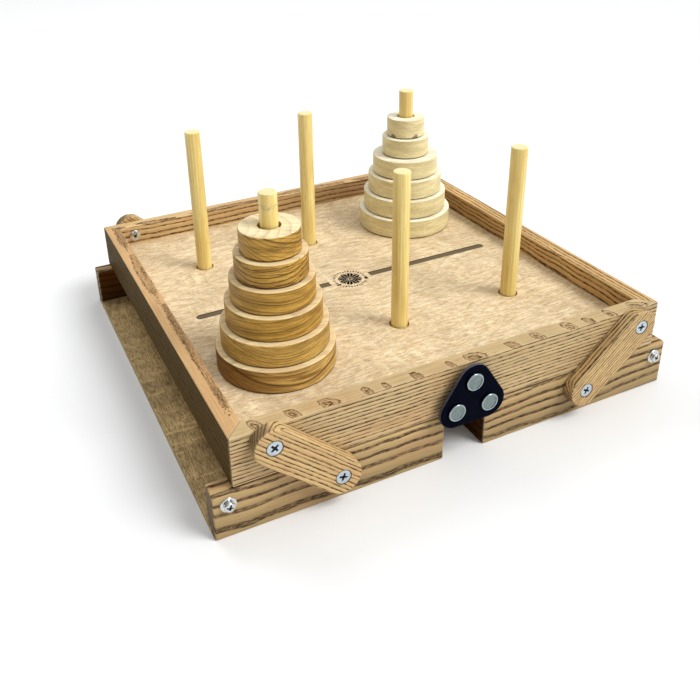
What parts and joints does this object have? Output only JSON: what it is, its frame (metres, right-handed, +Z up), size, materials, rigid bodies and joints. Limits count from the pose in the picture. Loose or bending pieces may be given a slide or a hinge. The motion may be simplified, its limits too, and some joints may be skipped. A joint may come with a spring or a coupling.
{
  "type": "tower of hanoi puzzle",
  "caption": "Folding wooden travel case that opens into a tower puzzle for two players, with loose pegs, stacked discs and hinged half-lids that serve as feet.",
  "frame": {"origin": "on the table, below the middle of the tray", "axes": "+X along the front of the tray to the right, +Y from the leather tab towards the back, +Z up"},
  "size_m": [0.346, 0.3388, 0.1756],
  "materials": {
    "ash_frame": "oiled ash with dark brushed pores, satin",
    "deck_ply": "stained plywood, fine grain along the length, satin",
    "lid_ply": "dark stained plywood, satin",
    "batten_wood": "plain sawn softwood",
    "ash_link": "oiled ash with dark brushed pores, satin",
    "disc_honey": "turned hardwood, oiled honey brown, satin",
    "disc_cream": "turned pale hardwood, clear satin",
    "peg_wood": "pale dowel, sanded smooth",
    "tab_leather": "dyed dark navy with burnished edges",
    "snap_nickel": "satin nickel plate",
    "stud_chrome": "bright nickel plate",
    "zinc_bolt": "bright zinc plate, slightly blue"
  },
  "bodies": {
    "tray": {"tray_rail_front": "ash_frame", "tray_rail_back": "ash_frame", "tray_rail_left": "ash_frame", "tray_rail_right": "ash_frame", "deck_panel": "deck_ply", "tray_base_panel": "lid_ply", "peg_batten_front": "batten_wood", "peg_batten_back": "batten_wood", "tray_barrel_nuts": "zinc_bolt", "tray_connector_bolts": "zinc_bolt", "tray_snap_stud": "stud_chrome"},
    "left_links": {"left_link_front": "ash_link", "left_link_back": "ash_link"},
    "left_lid": {"left_lid_rail_front": "ash_frame", "left_lid_rail_back": "ash_frame", "left_lid_end_wall": "ash_frame", "left_lid_panel": "lid_ply", "left_lid_barrel_nuts": "zinc_bolt", "left_lid_connector_bolts": "zinc_bolt", "left_lid_snap_stud": "stud_chrome"},
    "right_links": {"right_link_front": "ash_link", "right_link_back": "ash_link"},
    "right_lid": {"right_lid_rail_front": "ash_frame", "right_lid_rail_back": "ash_frame", "right_lid_end_wall": "ash_frame", "right_lid_panel": "lid_ply", "right_lid_barrel_nuts": "zinc_bolt", "right_lid_connector_bolts": "zinc_bolt", "right_lid_snap_stud": "stud_chrome"},
    "tab": {"leather_tab": "tab_leather", "tab_snap_caps": "snap_nickel", "tab_snap_sockets": "snap_nickel"},
    "peg_front_left": {"peg_front_left": "peg_wood"},
    "peg_front_middle": {"peg_front_middle": "peg_wood"},
    "peg_front_right": {"peg_front_right": "peg_wood"},
    "peg_back_left": {"peg_back_left": "peg_wood"},
    "peg_back_middle": {"peg_back_middle": "peg_wood"},
    "peg_back_right": {"peg_back_right": "peg_wood"},
    "front_disc_6": {"front_tower_disc_6": "disc_honey"},
    "front_disc_5": {"front_tower_disc_5": "disc_honey"},
    "front_disc_4": {"front_tower_disc_4": "disc_honey"},
    "front_disc_3": {"front_tower_disc_3": "disc_honey"},
    "front_disc_2": {"front_tower_disc_2": "disc_honey"},
    "front_disc_1": {"front_tower_disc_1": "disc_honey"},
    "back_disc_6": {"back_tower_disc_6": "disc_cream"},
    "back_disc_5": {"back_tower_disc_5": "disc_cream"},
    "back_disc_4": {"back_tower_disc_4": "disc_cream"},
    "back_disc_3": {"back_tower_disc_3": "disc_cream"},
    "back_disc_2": {"back_tower_disc_2": "disc_cream"},
    "back_disc_1": {"back_tower_disc_1": "disc_cream"}
  },
  "joints": [
    {"name": "left_fold", "type": "hinge", "parent": "tray", "child": "left_links", "pos_m": [-0.136, 0, 0.0616], "axis": [0, 1, 0], "range_deg": [0, 200]},
    {"name": "left_lid_turn", "type": "hinge", "parent": "left_links", "child": "left_lid", "pos_m": [-0.0933, 0, 0.0236], "axis": [0, 1, 0], "range_deg": [-80.5, 0]},
    {"name": "right_fold", "type": "hinge", "parent": "tray", "child": "right_links", "pos_m": [0.136, 0, 0.0616], "axis": [0, -1, 0], "range_deg": [0, 200]},
    {"name": "right_lid_turn", "type": "hinge", "parent": "right_links", "child": "right_lid", "pos_m": [0.0933, 0, 0.0236], "axis": [0, -1, 0], "range_deg": [-80.5, 0]},
    {"name": "tab_swing", "type": "hinge", "parent": "tray", "child": "tab", "pos_m": [0, -0.16, 0.0607], "axis": [0, 1, 0], "range_deg": [-180, 180]},
    {"name": "peg_front_left_lift", "type": "slide", "parent": "tray", "child": "peg_front_left", "axis": [0, 0, 1], "range_m": [0, 0.018]},
    {"name": "peg_front_middle_lift", "type": "slide", "parent": "tray", "child": "peg_front_middle", "axis": [0, 0, 1], "range_m": [0, 0.018]},
    {"name": "peg_front_right_lift", "type": "slide", "parent": "tray", "child": "peg_front_right", "axis": [0, 0, 1], "range_m": [0, 0.018]},
    {"name": "peg_back_left_lift", "type": "slide", "parent": "tray", "child": "peg_back_left", "axis": [0, 0, 1], "range_m": [0, 0.018]},
    {"name": "peg_back_middle_lift", "type": "slide", "parent": "tray", "child": "peg_back_middle", "axis": [0, 0, 1], "range_m": [0, 0.018]},
    {"name": "peg_back_right_lift", "type": "slide", "parent": "tray", "child": "peg_back_right", "axis": [0, 0, 1], "range_m": [0, 0.018]},
    {"name": "front_disc_6_lift", "type": "slide", "parent": "tray", "child": "front_disc_6", "axis": [0, 0, 1], "range_m": [0, 0.124]},
    {"name": "front_disc_5_lift", "type": "slide", "parent": "front_disc_6", "child": "front_disc_5", "axis": [0, 0, 1], "range_m": [0, 0.108]},
    {"name": "front_disc_4_lift", "type": "slide", "parent": "front_disc_5", "child": "front_disc_4", "axis": [0, 0, 1], "range_m": [0, 0.091]},
    {"name": "front_disc_3_lift", "type": "slide", "parent": "front_disc_4", "child": "front_disc_3", "axis": [0, 0, 1], "range_m": [0, 0.075]},
    {"name": "front_disc_2_lift", "type": "slide", "parent": "front_disc_3", "child": "front_disc_2", "axis": [0, 0, 1], "range_m": [0, 0.058]},
    {"name": "front_disc_1_lift", "type": "slide", "parent": "front_disc_2", "child": "front_disc_1", "axis": [0, 0, 1], "range_m": [0, 0.041]},
    {"name": "back_disc_6_lift", "type": "slide", "parent": "tray", "child": "back_disc_6", "axis": [0, 0, 1], "range_m": [0, 0.124]},
    {"name": "back_disc_5_lift", "type": "slide", "parent": "back_disc_6", "child": "back_disc_5", "axis": [0, 0, 1], "range_m": [0, 0.108]},
    {"name": "back_disc_4_lift", "type": "slide", "parent": "back_disc_5", "child": "back_disc_4", "axis": [0, 0, 1], "range_m": [0, 0.091]},
    {"name": "back_disc_3_lift", "type": "slide", "parent": "back_disc_4", "child": "back_disc_3", "axis": [0, 0, 1], "range_m": [0, 0.075]},
    {"name": "back_disc_2_lift", "type": "slide", "parent": "back_disc_3", "child": "back_disc_2", "axis": [0, 0, 1], "range_m": [0, 0.058]},
    {"name": "back_disc_1_lift", "type": "slide", "parent": "back_disc_2", "child": "back_disc_1", "axis": [0, 0, 1], "range_m": [0, 0.041]}
  ],
  "couplings": [
    {"joint": "left_lid_turn", "follows": "left_fold", "ratio": -0.39718},
    {"joint": "right_lid_turn", "follows": "right_fold", "ratio": -0.39718}
  ]
}
